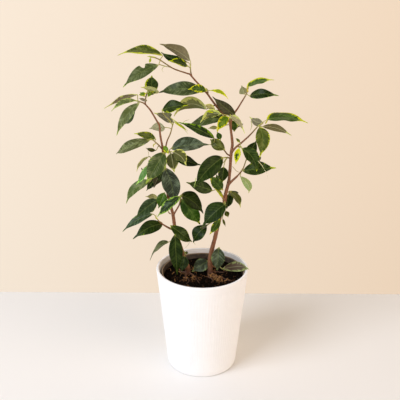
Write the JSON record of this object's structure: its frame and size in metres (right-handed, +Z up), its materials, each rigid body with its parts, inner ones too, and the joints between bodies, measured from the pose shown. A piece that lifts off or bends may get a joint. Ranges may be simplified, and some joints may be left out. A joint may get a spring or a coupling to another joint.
{
  "type": "potted weeping fig",
  "caption": "Variegated weeping fig with slender woody stems and drooping pointed leaves, in a nursery pot inside a ribbed white cover pot",
  "frame": {"origin": "on the pot's axis, in the plane of the flat base that it stands on", "axes": "+Z up along the pot's axis, +X to the right in the picture, +Y away from the picture's viewer; the whole plant is longest along +Z"},
  "size_m": [0.2762, 0.1346, 0.4768],
  "materials": {
    "glazed_ceramic": "satin white glaze over fine pressed ribs",
    "nursery_plastic": "taupe injection-moulded polypropylene, slightly dusty",
    "potting_soil": "dark crumbly peat with bark bits and roots",
    "bark": "thin reddish-brown bark with pale dots",
    "foliage": "smooth leathery leaf, dark green with grey-green patches and chartreuse margins"
  },
  "bodies": {
    "root": {"cover_pot": "glazed_ceramic", "grow_pot": "nursery_plastic", "left_stem": "bark", "right_stem": "bark", "soil": "potting_soil", "spray_crown_back": "foliage", "spray_crown_front": "foliage", "spray_inner_left": "foliage", "spray_large_leaf": "foliage", "spray_left_back": "foliage", "spray_left_dark": "foliage", "spray_left_foot": "foliage", "spray_left_fork": "foliage", "spray_left_front": "foliage", "spray_left_hanging": "foliage", "spray_left_low": "foliage", "spray_left_low_end": "foliage", "spray_left_middle": "foliage", "spray_left_second": "foliage", "spray_left_side": "foliage", "spray_left_top": "foliage", "spray_left_twig": "foliage", "spray_long_stem": "foliage", "spray_low_left": "foliage", "spray_low_right": "foliage", "spray_lower_front": "foliage", "spray_lower_right": "foliage", "spray_mid_stem": "foliage", "spray_node_left": "foliage", "spray_node_right": "foliage", "spray_right_branch": "foliage", "spray_right_foot": "foliage", "spray_right_inner": "foliage", "spray_top_end": "foliage", "spray_top_fork": "foliage", "spray_upper_right": "foliage"}
  },
  "joints": []
}
